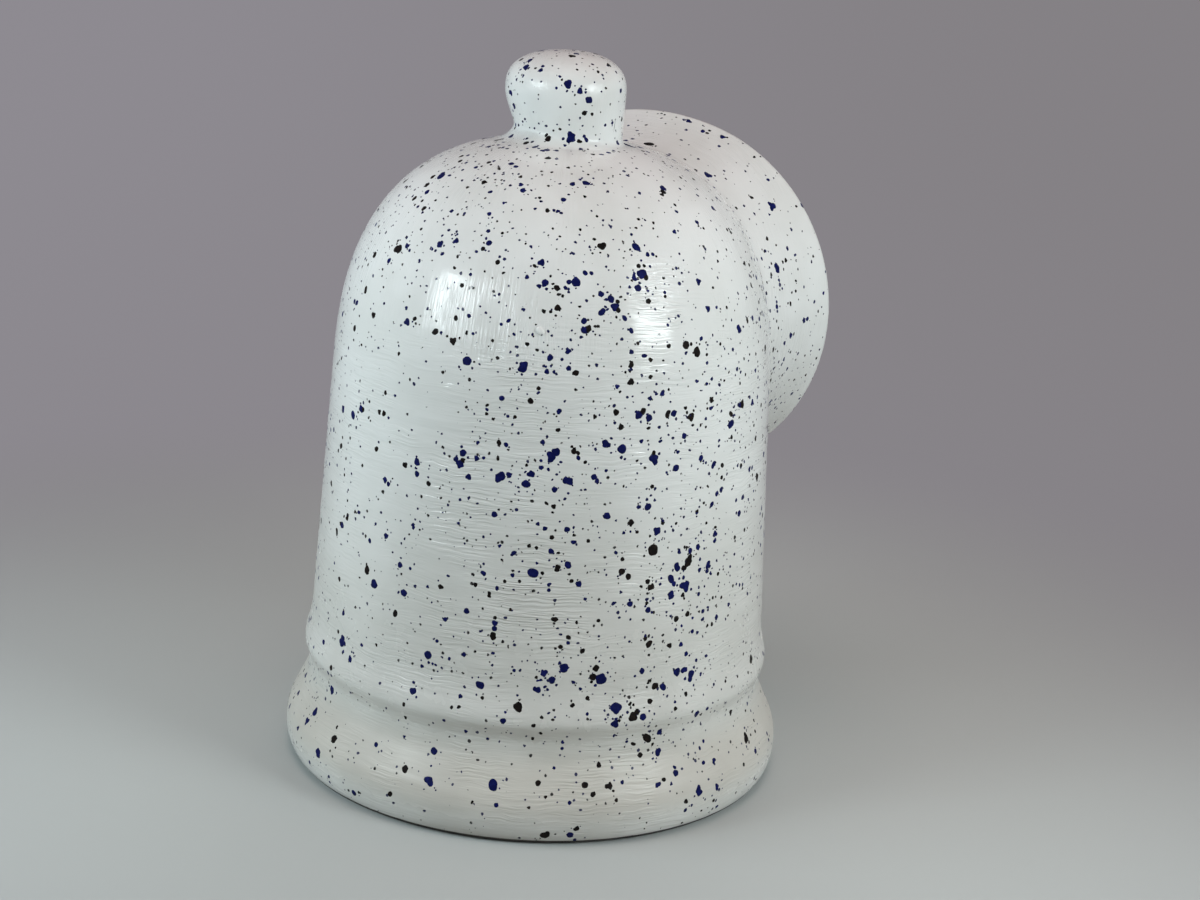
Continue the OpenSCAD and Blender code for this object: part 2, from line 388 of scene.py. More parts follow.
def turned_points(outline, segments, disp=None):
    """Rings of points from an outline of (radius, height), moved along its normal by disp(theta, z)."""
    r, z = outline.T
    theta = turns(segments)
    grid_t, grid_r = np.meshgrid(theta, r)
    grid_z = np.broadcast_to(z[:, None], grid_r.shape)
    move_r = move_z = 0.0
    if disp is not None:
        dr = np.gradient(r)
        dz = np.gradient(z)
        size = np.maximum(np.hypot(dr, dz), 1e-12)
        amount = disp(grid_t, grid_z)
        move_r = amount * (dz / size)[:, None]
        move_z = -amount * (dr / size)[:, None]
    radius = grid_r + move_r
    return stacked(radius * np.cos(grid_t), radius * np.sin(grid_t), grid_z + move_z)


# Materials

class Nodes:
    """A new material and its node tree. Each call adds a node and gives back what comes out of it."""

    def __init__(self, name):
        self.material = bpy.data.materials.new(name)
        self.material.use_nodes = True
        self.tree = self.material.node_tree
        self.shader = self.tree.nodes["Principled BSDF"]
        self.place = self.add("TexCoord").outputs["Object"]

    def feed(self, value, socket):
        """Gives a socket its value: another node's output is linked, and anything else is set."""
        if isinstance(value, bpy.types.NodeSocket):
            self.tree.links.new(value, socket)
        else:
            socket.default_value = value

    def add(self, kind, *values):
        """A node whose first inputs get the values."""
        node = self.tree.nodes.new("ShaderNode" + kind)
        for value, socket in zip(values, node.inputs):
            self.feed(value, socket)
        return node

    def paint(self, name, value):
        """Sets one of the shader's own inputs."""
        self.feed(value, self.shader.inputs[name])

    def calc(self, operation, *values):
        node = self.add("Math", *values)
        node.operation = operation
        return node.outputs[0]

    def vector(self, operation, *values, out=0):
        node = self.add("VectorMath", *values)
        node.operation = operation
        return node.outputs[out]

    def split(self, vector):
        return self.add("SeparateXYZ", vector).outputs

    def noise(self, place, scale, detail=2.0, roughness=0.5, out="Fac"):
        node = self.add("TexNoise", place)
        for name, value in (("Scale", scale), ("Detail", detail), ("Roughness", roughness)):
            node.inputs[name].default_value = value
        return node.outputs[out]

    def shaken(self, place, per_metre, detail, reach):
        """The place, moved by noise by up to half the reach each way."""
        noise = self.noise(place, per_metre, detail, 0.5, "Color")
        shift = self.add("VectorMath", self.vector("SUBTRACT", noise, (0.5, 0.5, 0.5)))
        shift.operation = "SCALE"
        shift.inputs["Scale"].default_value = reach
        return self.vector("ADD", place, shift.outputs[0])

    def ramp(self, value, low, high, to_low=0.0, to_high=1.0):
        """A smooth step from low to high."""
        node = self.add("MapRange", value, low, high, to_low, to_high)
        node.interpolation_type = "SMOOTHSTEP"
        return node.outputs["Result"]

    def mix(self, factor, a, b):
        node = self.add("Mix", factor)
        node.data_type = "RGBA"
        for name, value in (("A", a), ("B", b)):
            socket = next(s for s in node.inputs if s.name == name and s.type == "RGBA")
            self.feed((*value, 1) if isinstance(value, tuple) else value, socket)
        return next(s for s in node.outputs if s.type == "RGBA")

    def bump(self, height, distance, normal=None):
        node = self.add("Bump")
        node.inputs["Strength"].default_value = 1.0
        node.inputs["Distance"].default_value = distance
        self.feed(height, node.inputs["Height"])
        if normal is not None:
            self.feed(normal, node.inputs["Normal"])
        return node.outputs["Normal"]

    def stored(self, name):
        """A value that the piece stores at its points."""
        node = self.add("Attribute")
        node.attribute_name = name
        return node.outputs["Fac"]


# Where the glaze was spattered and how the brush went over it
# Bursts of spatter: direction round the pot in degrees, height, reach and strength
BURSTS = (
    (123, 0.134, 0.022, 0.9),
    (130, 0.100, 0.024, 0.8),
    (113, 0.093, 0.020, 0.7),
    (153, 0.066, 0.018, 1.0),
    (140, 0.036, 0.020, 0.9),
    (165, 0.104, 0.016, 0.7),
    (70, 0.152, 0.020, 0.7),
    (104, 0.050, 0.016, 0.4),
    (114, 0.166, 0.026, 0.6),
    (200, 0.120, 0.024, 0.7),
    (225, 0.070, 0.024, 0.8),
    (20, 0.080, 0.022, 0.7),
    (345, 0.050, 0.022, 0.8),
    (300, 0.040, 0.022, 0.8),
    (260, 0.030, 0.020, 0.6),
)
SPATTER_BASE = 0.42
SPATTER_DRIFT = 0.14
SPATTER_INSIDE = 0.3

# Patches with deep brush marks: column and row in the photograph, and reach
BRUSH_PATCHES = (
    (474, 296, 9 * MM),
    (655, 318, 15 * MM),
    (490, 365, 20 * MM),
    (500, 485, 18 * MM),
    (520, 600, 24 * MM),
)
BRUSH_BASE = 0.32
BRUSH_DRIFT = 0.20
BRUSH_ON_KNOB = 0.12
ROW_PATCH = (655, 325, 24 * MM)
STROKES_FROM = 112 * MM
STROKES_FULL = 124 * MM


def spatter_chance(points):
    """Chance of a speck at each point: a thin even spatter, thicker in slow drifts and in the bursts."""
    theta = np.arctan2(points[:, 1], points[:, 0])
    drift = lattice_noise(theta / (2 * np.pi), points[:, 2] / DOME_APEX, *SPATTER_LATTICE)
    chance = SPATTER_BASE + SPATTER_DRIFT * drift
    for degrees, height, reach, strength in BURSTS:
        centre = bell_point(np.array(math.radians(degrees)), np.array(height))
        far = np.linalg.norm(points - centre, axis=1)
        chance += strength * np.exp(-(far / reach) ** 2)
    return np.clip(chance, 0, 1)


def near(points, place, reach):
    """1 at the place, fading to 0 a little beyond the reach."""
    return np.exp(-((points - np.array(place)) ** 2).sum(axis=1) / reach ** 2)


def brush_depth(points, tree):
    """How deep the brush marks are at each point."""
    theta = np.arctan2(points[:, 1], points[:, 0])
    drift = lattice_noise(theta / (2 * np.pi), points[:, 2] / DOME_APEX, *PATCH_LATTICE)
    depth = BRUSH_BASE + BRUSH_DRIFT * drift
    for column, row, reach in BRUSH_PATCHES:
        depth = np.maximum(depth, near(points, seen_place(tree, column, row)[0], reach))
    return np.where(points[:, 2] > SEAT_HEIGHT + KNOB_COIL_HEIGHT, BRUSH_ON_KNOB, depth)


def stroke_turn(points, tree):
    """0 where the brush went round the wall, 1 where it went up the shoulder."""
    column, row, reach = ROW_PATCH
    up = ease((points[:, 2] - STROKES_FROM) / (STROKES_FULL - STROKES_FROM))
    return up * (1 - near(points, seen_place(tree, column, row)[0], reach))


def store(piece, name, values):
    layer = piece.data.attributes.new(name, "FLOAT", "POINT")
    layer.data.foreach_set("value", values)


def brush_and_spatter(piece, tree):
    """Stores on the piece what its glaze reads: the chance of specks, and how the brush went."""
    places = np.zeros(len(piece.data.vertices) * 3)
    piece.data.vertices.foreach_get("co", places)
    points = places.reshape(-1, 3)
    store(piece, "spatter", spatter_chance(points))
    store(piece, "brush", brush_depth(points, tree))
    store(piece, "upright", stroke_turn(points, tree))


# Fine specks in the glaze: size of a layer's cells, smallest and largest speck radius, share of the chance
FINE_SPECKS = (
    (2.1 * MM, 0.30 * MM, 0.46 * MM, 0.90),
    (1.50 * MM, 0.17 * MM, 0.30 * MM, 0.70),
)
# How far noise pushes a speck's edge, in its largest radius, how often, and where the edge fades
SPECK_PUSH = 1.3
SPECK_PUSHES = 0.5
SPECK_FADE = (0.85, 1.05, 1.0, 0.0)

NAVY = (0.0040, 0.0065, 0.060)
NAVY_LIGHT = (0.0080, 0.0120, 0.110)
BROWN = (0.0070, 0.0055, 0.0055)
BROWN_LIGHT = (0.018, 0.012, 0.010)
BROWN_SHARE = 0.40

# The white glaze: its two tones, pools and gloss. A range gives two ends, and what they turn into.
WHITE_LOW = (0.755, 0.765, 0.745)
WHITE_HIGH = (0.82, 0.832, 0.82)
POOLS_PER_METRE = 45.0
POOL_RANGE = (0.33, 0.67)
TONE_OF_MARKS = 0.15
GLOSS_PATCHES_PER_METRE = 130.0
GLOSS_RANGE = (0.3, 0.7, 0.09, 0.17)
GLAZE_IOR = 1.65

# Painted shade and warm floor bounce at the foot: a darker, warmer tone that comes in towards the bottom and
# fades out up the lower wall, where the glaze is also more matt; and the heights over which it comes and goes
FOOT_SHADE_LOW = (0.562, 0.540, 0.490)
FOOT_SHADE_HIGH = (0.614, 0.592, 0.541)
FOOT_MATT = 0.26
FOOT_COMES = (1 * MM, 12 * MM, 0.05, 1.0)
FOOT_GOES = (17 * MM, 28 * MM, 1.0, 0.45)
FOOT_ENDS = (45 * MM, 100 * MM, 1.0, 0.0)

# Brush marks: their depth, how close they lie and how they wander and break off
BRUSH_RELIEF = 0.15 * MM
BRUSH_FLANK = 0.13
ROWS_PER_METRE = 1600
ROW_RUN_PER_METRE = 100
ROW_WANDER = 1.7 * MM
ROW_WANDERS_PER_METRE = 80
STROKES_PER_RADIAN = 85
STROKE_RUN_PER_METRE = 80
BREAKS_PER_METRE = 85
BREAK_RANGE = (0.36, 0.62, 0.15, 1.0)
PEEL_RELIEF = 0.008 * MM
PEEL_PER_METRE = 1900

# Coloured drops
DROP_CLOUDS_PER_METRE = 900.0
DROP_CLOUD_RANGE = (0.42, 0.72)
DROP_GLOSS_RANGE = (0.3, 0.7, 0.40, 0.60)
DROP_RELIEF = 0.03 * MM
DROP_SPECULAR = 0.08

# Bare clay
CLAY_DARK = (0.58, 0.52, 0.44)
CLAY_PALE = (0.70, 0.64, 0.56)
CLAY_GRAIN = (0.45, 0.39, 0.32)
STAINS_PER_METRE = 60.0
STAIN_RANGE = (0.3, 0.7)
GRAINS_PER_METRE = 1500.0
GRAIN_RANGE = (0.62, 0.75)
GRAIN_RELIEF = 0.06 * MM
CLAY_GLOSS_RANGE = (0.3, 0.7, 0.78, 0.92)

# Painted shadow under the foot: a dark band on the last rows of the outline that stands in for the contact
# shadow where the lip meets the floor; rows of the outline, and its two tones
SHADOW_EDGE_ROWS = 5
SHADOW_EDGE_DARK = (0.045, 0.043, 0.042)
SHADOW_EDGE_PALE = (0.110, 0.102, 0.095)
SHADOW_EDGE_MOTTLES_PER_METRE = 140.0
SHADOW_EDGE_ROUGHNESS = 0.85


def fine_specks(n, chance, cell, least, most, share):
    """Cover from 0 to 1 of one layer of round specks, and a random number for each speck's colour."""
    cells = n.add("TexVoronoi", n.shaken(n.place, SPECK_PUSHES / most, 1.0, SPECK_PUSH * most))
    cells.feature = "F1"
    cells.inputs["Scale"].default_value = 1 / cell
    cells.inputs["Randomness"].default_value = 1.0
    size, draw, hue = n.add("SeparateColor", cells.outputs["Color"]).outputs
    there = n.calc("GREATER_THAN", n.calc("MULTIPLY", chance, share), draw)
    radius = n.calc("MULTIPLY_ADD", size, (most - least) / cell, least / cell)
    reach = n.calc("MAXIMUM", n.calc("MULTIPLY", radius, there), 1e-4)
    return n.ramp(n.calc("DIVIDE", cells.outputs["Distance"], reach), *SPECK_FADE), hue


def brush_relief(n, kind):
    """Relief of the brushed glaze: rows round the wall and strokes up the shoulder, or rows round the mouth."""
    place = n.place
    if kind == "mouth":
        turn = n.add("Mapping", place)
        turn.inputs["Rotation"].default_value = (math.pi / 2 - MOUTH_TILT, 0, 0)
        place = turn.outputs["Vector"]
    grain = (ROW_RUN_PER_METRE, ROW_RUN_PER_METRE, ROWS_PER_METRE)
    swayed = n.shaken(place, ROW_WANDERS_PER_METRE, 2.0, 2 * ROW_WANDER)
    rows = n.noise(n.vector("MULTIPLY", swayed, grain), 1.0)
    if kind == "mouth":
        return rows
    x, y, z = n.split(place)
    round_it = n.calc("MULTIPLY", n.calc("ARCTAN2", x, y), STROKES_PER_RADIAN)
    up_it = n.calc("MULTIPLY", z, STROKE_RUN_PER_METRE)
    strokes = n.noise(n.add("CombineXYZ", round_it, up_it).outputs[0], 1.0, roughness=0.6)
    blend = n.add("Mix", n.stored("upright"))
    blend.data_type = "FLOAT"
    n.feed(rows, blend.inputs[2])
    n.feed(strokes, blend.inputs[3])
    return blend.outputs[0]


def glaze(name, kind):
    """White brushed glaze with its fine specks."""
    n = Nodes(name)
    marks = n.ramp(brush_relief(n, kind), 0.5 - BRUSH_FLANK, 0.5 + BRUSH_FLANK, -0.5, 0.5)
    breaks = n.ramp(n.noise(n.place, BREAKS_PER_METRE, 1.0), *BREAK_RANGE)
    depth = n.calc("MULTIPLY", marks, n.calc("MULTIPLY", breaks, n.stored("brush")))

    pooled = n.noise(n.place, POOLS_PER_METRE, 3.0)
    tone = n.calc("ADD", pooled, n.calc("MULTIPLY", depth, TONE_OF_MARKS))
    white_low, white_high = WHITE_LOW, WHITE_HIGH
    matt = n.ramp(n.noise(n.place, GLOSS_PATCHES_PER_METRE, 3.0), *GLOSS_RANGE)
    # on the wall the white is painted darker and warmer towards the foot, shade and warm floor bounce painted
    # into the colour; the same mask makes the glaze there more matt
    if kind == "wall":
        height = n.split(n.place)[2]
        thin = n.ramp(height, *FOOT_COMES)
        for stretch in (FOOT_GOES, FOOT_ENDS):
            thin = n.calc("MULTIPLY", thin, n.ramp(height, *stretch))
        white_low = n.mix(thin, WHITE_LOW, FOOT_SHADE_LOW)
        white_high = n.mix(thin, WHITE_HIGH, FOOT_SHADE_HIGH)
        matt = n.calc("ADD", matt, n.calc("MULTIPLY", thin, FOOT_MATT))
    colour = n.mix(n.ramp(tone, *POOL_RANGE), white_low, white_high)
    chance = n.stored("spatter")
    for layer in FINE_SPECKS:
        cover, hue = fine_specks(n, chance, *layer)
        colour = n.mix(cover, colour, n.mix(n.calc("LESS_THAN", hue, BROWN_SHARE), NAVY, BROWN))

    brushed = n.bump(depth, BRUSH_RELIEF)
    n.paint("Base Color", colour)
    n.paint("Roughness", matt)
    n.paint("Normal", n.bump(n.noise(n.place, PEEL_PER_METRE, 1.0), PEEL_RELIEF, brushed))
    n.paint("IOR", GLAZE_IOR)
    return n.material


def pigment(name, dark, light):
    """Dried drops of coloured glaze, thinner and paler in places."""
    n = Nodes(name)
    cloud = n.noise(n.place, DROP_CLOUDS_PER_METRE, 3.0, 0.6)
    n.paint("Base Color", n.mix(n.ramp(cloud, *DROP_CLOUD_RANGE), dark, light))
    n.paint("Roughness", n.ramp(cloud, *DROP_GLOSS_RANGE))
    n.paint("Normal", n.bump(cloud, DROP_RELIEF))
    n.paint("Specular IOR Level", DROP_SPECULAR)
    return n.material


def bare_clay():
    """Fired clay without glaze, fine-grained and a little stained."""
    n = Nodes("bare_clay")
    stain = n.noise(n.place, STAINS_PER_METRE, 4.0)
    grain = n.noise(n.place, GRAINS_PER_METRE, 3.0)
    stained = n.mix(n.ramp(stain, *STAIN_RANGE), CLAY_DARK, CLAY_PALE)
    n.paint("Base Color", n.mix(n.ramp(grain, *GRAIN_RANGE), stained, CLAY_GRAIN))
    n.paint("Roughness", n.ramp(stain, *CLAY_GLOSS_RANGE))
    n.paint("Normal", n.bump(grain, GRAIN_RELIEF))
    return n.material


def painted_foot_shadow():
    """A dark band painted under the foot that stands in for the contact shadow where the lip meets the floor.
    """
    n = Nodes("painted_foot_shadow")
    stain = n.noise(n.place, SHADOW_EDGE_MOTTLES_PER_METRE, 3.0)
    n.paint("Base Color", n.mix(n.ramp(stain, *STAIN_RANGE), SHADOW_EDGE_DARK, SHADOW_EDGE_PALE))
    n.paint("Roughness", SHADOW_EDGE_ROUGHNESS)
    return n.material


body_glaze = glaze("glaze_body", "wall")
mouth_glaze = glaze("glaze_mouth", "mouth")
clay = bare_clay()
# dark material that paints the contact shadow under the foot
foot_shadow_paint = painted_foot_shadow()
navy_drops = pigment("navy_drops", NAVY, NAVY_LIGHT)
brown_drops = pigment("brown_drops", BROWN, BROWN_LIGHT)


# Bell

def body_outline():
    """Outer crown, down to the foot, across the resting ring, and up the inside to the inner crown."""
    crown = np.linspace(0, np.pi / 2, CROWN_STEPS)[1:]
    dome = SPRING_HEIGHT + DOME_HEIGHT * np.cos(crown)
    wall = np.arange(SPRING_HEIGHT, BEAD_END_HEIGHT, -WALL_STEP)[1:]
    foot = np.linspace(BEAD_END_HEIGHT, FOOT_LIP_HEIGHT, FOOT_STEPS)
    lip = FOOT_LIP_HEIGHT * (1 - np.sin(np.linspace(0, np.pi / 2, LIP_STEPS)[1:]))
    outside = np.concatenate([dome, wall, foot, lip])
    outer = stacked(bell_r(outside), outside)
    ring = stacked(np.linspace(CONTACT_R, WELL_R, RING_STEPS)[1:], np.zeros(RING_STEPS - 1))
    well = np.linspace(0, BEAD_END_HEIGHT, WELL_STEPS)[1:]
    up = np.linspace(BEAD_END_HEIGHT, SPRING_HEIGHT, INNER_WALL_STEPS)[1:]
    rise = np.sin(np.linspace(0, np.pi / 2, VAULT_STEPS)[1:-1])
    vault = SPRING_HEIGHT + (CAVITY_APEX - SPRING_HEIGHT) * rise
    inside = np.concatenate([well, up, vault])
    inner = stacked(cavity_r(inside), inside)
    return np.concatenate([outer, ring, inner]), len(outer), len(ring)


def mouth_matrix():
    """Turns +Z onto the mouth's axis."""
    return Matrix.Translation((0, 0, MOUTH_HEIGHT)) @ Matrix.Rotation(math.pi / 2 - MOUTH_TILT, 4, "X")


def make_body():
    outline, outer_rows, ring_rows = body_outline()

    def inwards(theta, z):
        """How far the outer face is moved along the normal, which points in on an outline that runs down."""
        amount = body_wobble(theta, z) + body_ridges(theta, z)
        amount[outer_rows:] = 0
        return -amount

    points = turned_points(outline, BODY_SEGMENTS, inwards)
    slots = np.zeros(len(outline) - 1, int)
    slots[outer_rows - 1:outer_rows + ring_rows - 1] = 1
    # the last rows of the lip take the painted contact shadow
    slots[outer_rows - 1 - SHADOW_EDGE_ROWS:outer_rows - 1] = 2
    body = face_outwards(turned_piece("body_bell_glazed", points, [body_glaze, clay, foot_shadow_paint], slots))

    tube = turned_points(np.array([[HOLE_R, 0], [HOLE_R, 2 * MOUTH_REACH]]), CUTTER_SEGMENTS)
    cutter = face_outwards(turned_piece("mouth_cutter", tube, []))
    cutter.data.transform(mouth_matrix())
    cut = body.modifiers.new("mouth_hole", "BOOLEAN")
    cut.operation = "DIFFERENCE"
    cut.solver = "MANIFOLD"
    cut.object = cutter
    depsgraph = bpy.context.evaluated_depsgraph_get()
    holed = bpy.data.meshes.new_from_object(body.evaluated_get(depsgraph))
    body.modifiers.clear()
    body.data = holed
    bpy.data.objects.remove(cutter)
    return body


# Mouth collar and its coil

AXIS = np.array([0, -math.cos(MOUTH_TILT), math.sin(MOUTH_TILT)])
UPRIGHT = np.array([0, math.sin(MOUTH_TILT), math.cos(MOUTH_TILT)])
ACROSS = np.array([1.0, 0, 0])
CROSSING = np.array([0, 0, MOUTH_HEIGHT])
MOUTH_ANGLES = turns(MOUTH_SEGMENTS)


def mouth_place(radius, reach, t):
    """A point at a radius and reach of the mouth's axis, at the angle t round it."""
    spoke = np.cos(t)[..., None] * ACROSS + np.sin(t)[..., None] * UPRIGHT
    return CROSSING + np.asarray(reach)[..., None] * AXIS + np.asarray(radius)[..., None] * spoke


def rim_wobble(s, t):
    """The rim isn't quite round or flat; the throat is."""
    out = ease((s - RIM_WOBBLE_FROM * COLLAR_END) / (RIM_WOBBLE_OVER * COLLAR_END))
    dip = RIM_DIP * np.exp(-((t - RIM_DIP_ANGLE) / RIM_DIP_SPREAD) ** 2)
    wave = np.cos(2 * t + RIM_OVAL_PHASE) + RIM_LOBES * np.cos(3 * t - RIM_LOBES_PHASE)
    return out * (RIM_WOBBLE * wave / (1 + RIM_LOBES) - dip)


def on_collar(s, t, side=1, lift=0.0):
    radius, reach = collar_point(s, side)
    return mouth_place(radius + rim_wobble(s, t) + lift, reach, t)


def outside(points, outline):
    return np.hypot(points[..., 0], points[..., 1]) - outline(points[..., 2])


def reach_where(inside, t):
    """The reach at which a test turns from true to false, for each angle t round the mouth, by halving."""
    low = np.zeros_like(t)
    high = np.full_like(t, COLLAR_END)
    for _ in range(HALVINGS):
        middle = (low + high) / 2
        yes = inside(middle)
        low = np.where(yes, middle, low)
        high = np.where(yes, high, middle)
    return (low + high) / 2


def leaves_bell(t):
    """Reach along the collar at which its outer face comes out of the bell."""
    return reach_where(lambda s: outside(on_collar(s, t), bell_r) < 0, t)


def leaves_cavity(t):
    """Reach at which the throat meets the inside of the bell."""
    radius = np.full_like(t, THROAT_R)
    return reach_where(lambda s: outside(mouth_place(radius, s, t), cavity_r) < 0, t)


def cavity_place(radius, t, sink=0.0):
    """A point on the inside of the bell at a radius from the mouth's axis, sunk into the wall."""
    spread = np.broadcast_to(radius, t.shape)
    return mouth_place(spread, reach_where(lambda s: outside(mouth_place(spread, s, t), cavity_r) < sink, t), t)


def bend(a, corner, b, steps):
    """Points of a curve from a to b that leaves towards the corner and arrives from it."""
    v = np.linspace(0, 1, steps)[:, None, None]
    return (1 - v) ** 2 * a + 2 * v * (1 - v) * corner + v ** 2 * b


def unit(v):
    return v / np.linalg.norm(v, axis=-1, keepdims=True)


def smoothed_coil(first, second, leg_1, leg_2, feather, steps):
    """A ring of clay smoothed into the corner between two surfaces. Each surface gives the points at a distance
    from the corner, with a lift; the coil starts a leg out on each, runs out beyond that in a thin feather and
    follows both surfaces underneath."""
    share = np.linspace(0, 1, FEATHER_ROWS + 1)[1:]
    ends = []
    for surface, leg in ((first, leg_1), (second, leg_2)):
        edge = surface(leg, PROUD)
        way = unit(surface(leg - SLOPE_STEP, PROUD) - edge)
        run_out = [surface(leg + feather * v, PROUD - (PROUD + SINK) * v * v) for v in share]
        under = [surface((leg + feather) * v, -UNDERSIDE) for v in share[::-1]]
        ends.append((edge, edge + COIL_PULL * leg[:, None] * way, run_out, under))
    (a, p, run_a, under_a), (b, q, run_b, under_b) = ends
    v = np.linspace(0, 1, steps)[:, None, None]
    face = (1 - v) ** 3 * a + 3 * v * (1 - v) ** 2 * p + 3 * v ** 2 * (1 - v) * q + v ** 3 * b
    return np.concatenate([run_a[::-1], face, run_b, under_b, under_a[::-1]])


def make_collar():
    t = MOUTH_ANGLES
    root = leaves_bell(t) - COLLAR_ROOT
    share = np.linspace(0, 1, COLLAR_STEPS)[:, None]
    out_s = root + (COLLAR_END - root) * share
    outer = on_collar(out_s, np.broadcast_to(t, out_s.shape))

    lip_angle = float(collar_angle(COLLAR_END))
    a = np.linspace(0, np.pi, ROLL_STEPS)[1:-1, None] - lip_angle
    lip_r = COLLAR_MID_1 + COLLAR_WALL / 2 * np.cos(a) + rim_wobble(COLLAR_END, t)
    lip_s = COLLAR_END + COLLAR_WALL / 2 * np.sin(a) + 0 * t
    lip = mouth_place(lip_r, lip_s, np.broadcast_to(t, lip_r.shape))

    edge = leaves_cavity(t)
    in_s = COLLAR_END + (edge + THROAT_SOFT - COLLAR_END) * np.linspace(0, 1, THROAT_STEPS)[:, None]
    inner = on_collar(in_s, np.broadcast_to(t, in_s.shape), -1)

    corner = mouth_place(np.full_like(t, THROAT_R), edge, t)
    soft_r = THROAT_R + THROAT_SOFT
    rounding = bend(inner[-1], corner, cavity_place(soft_r, t), ROUNDING_STEPS)[1:]
    tail = cavity_place(soft_r + THROAT_TAIL, t), cavity_place(soft_r + 2 * THROAT_TAIL, t, THROAT_SINK)
    sections = np.concatenate([outer, lip, inner, rounding, np.stack(tail)])
    return face_outwards(ring_piece("mouth_collar_glazed", sections, [mouth_glaze]))


def make_mouth_coil():
    """The clay smoothed into the valley round the collar: wide beside the knob, tight under the mouth."""
    t = MOUTH_ANGLES
    s = leaves_bell(t)
    joint = on_collar(s, t)
    leg = MOUTH_COIL_LEG + MOUTH_COIL_RISE * np.sin(t)
    along = np.sin(t)[:, None] * UPRIGHT + np.cos(t)[:, None] * ACROSS

    def on_bell(reach, lift):
        p = joint + np.asarray(reach)[:, None] * along
        return bell_point(np.arctan2(p[:, 1], p[:, 0]), p[:, 2], lift)

    def on_flare(reach, lift):
        return on_collar(np.minimum(s + reach, COLLAR_END), t, 1, lift)

    run = np.minimum(leg, COLLAR_END - s - FEATHER)
    sections = smoothed_coil(on_bell, on_flare, leg, run, FEATHER, MOUTH_COIL_STEPS)
    return face_outwards(ring_piece("mouth_join_coil_glazed", sections, [mouth_glaze]))


# Knob and its coil

def knob_lean(theta, h):
    """The knob bulges on one side and stands straighter on the other."""
    shift = KNOB_ROOT_LEAN + (KNOB_TOP_LEAN - KNOB_ROOT_LEAN) * ease(h / KNOB_BELLY_HEIGHT)
    return shift * np.cos(theta - MOUTH_TURN) + KNOB_OVAL * np.cos(2 * theta + KNOB_OVAL_PHASE)


def knob_point(theta, h, lift=0.0):
    r = knob_profile(h) + (knob_lean(theta, h) + lift) * np.minimum(1, knob_profile(h) / KNOB_NECK_R)
    return stacked(r * np.cos(theta), r * np.sin(theta), SEAT_HEIGHT + h + 0 * theta)


def make_knob():
    theta = turns(KNOB_SEGMENTS)
    rise = np.linspace(0, np.pi / 2, KNOB_TOP_STEPS)
    over = KNOB_BELLY_HEIGHT + (KNOB_HEIGHT - KNOB_BELLY_HEIGHT) * np.sin(rise[:-1])
    h = np.concatenate([np.linspace(-KNOB_ROOT, KNOB_BELLY_HEIGHT, KNOB_NECK_STEPS)[:-1], over])
    grid_t, grid_h = np.meshgrid(theta, h)
    points = knob_point(grid_t, grid_h)
    return face_outwards(turned_piece("knob_glazed", points, [body_glaze]))


def make_knob_coil():
    """The clay smoothed round the knob's root: wider on the side to which the knob bulges."""
    theta = turns(KNOB_SEGMENTS)
    side = 1 + KNOB_COIL_LEAN * np.cos(theta - MOUTH_TURN)
    root_h = float(dome_z(KNOB_NECK_R)) - SEAT_HEIGHT
    root_r = KNOB_NECK_R + knob_lean(theta, root_h)

    def on_dome(reach, lift):
        return bell_point(theta, dome_z(root_r + reach), lift)

    def on_knob(reach, lift):
        return knob_point(theta, root_h + reach, lift)

    legs = KNOB_COIL_WIDTH * side, KNOB_COIL_HEIGHT * side
    sections = smoothed_coil(on_dome, on_knob, *legs, KNOB_COIL_FEATHER * side, KNOB_COIL_STEPS)
    return face_outwards(ring_piece("knob_join_coil_glazed", sections, [body_glaze]))


# Floor

def make_floor():
    edge = WELL_R - SLIP_GAP
    soft = edge - SLAB_SOFT
    arc = np.linspace(0, np.pi / 2, SLAB_EDGE_STEPS)
    low = stacked(soft + SLAB_SOFT * np.sin(arc), SLAB_SOFT - SLAB_SOFT * np.cos(arc))
    high = stacked(soft + SLAB_SOFT * np.cos(arc), FLOOR_T - SLAB_SOFT + SLAB_SOFT * np.sin(arc))
    out = np.linspace(SLAB_MIDDLE, soft, SLAB_STEPS)[:-1]
    under = stacked(out, np.zeros_like(out))
    back = np.linspace(soft, SLAB_MIDDLE, SLAB_STEPS)[1:]
    top = stacked(back, np.full_like(back, FLOOR_T))
    outline = np.concatenate([under, low, high, top])
    slots = np.where(outline[:-1, 1] > FLOOR_T / 2, 1, 0)
    points = turned_points(outline, FLOOR_SEGMENTS)
    return face_outwards(turned_piece("floor_slab_fired", points, [clay, body_glaze], slots))


def make_floor_coil():
    edge = WELL_R - SLIP_GAP
    leg = FLOOR_COIL + FLOOR_COIL_EDGE
    arc = np.linspace(0, np.pi / 2, FLOOR_COIL_STEPS)
    hollow = stacked(edge - leg + FLOOR_COIL * np.sin(arc), FLOOR_T + leg - FLOOR_COIL * np.cos(arc))
    corners = [[edge, FLOOR_T]], [[edge - leg, FLOOR_T]], hollow, [[edge, FLOOR_T + leg]]
    points = turned_points(np.concatenate(corners), FLOOR_SEGMENTS)
    return face_outwards(ring_piece("floor_join_coil_glazed", points, [body_glaze]))


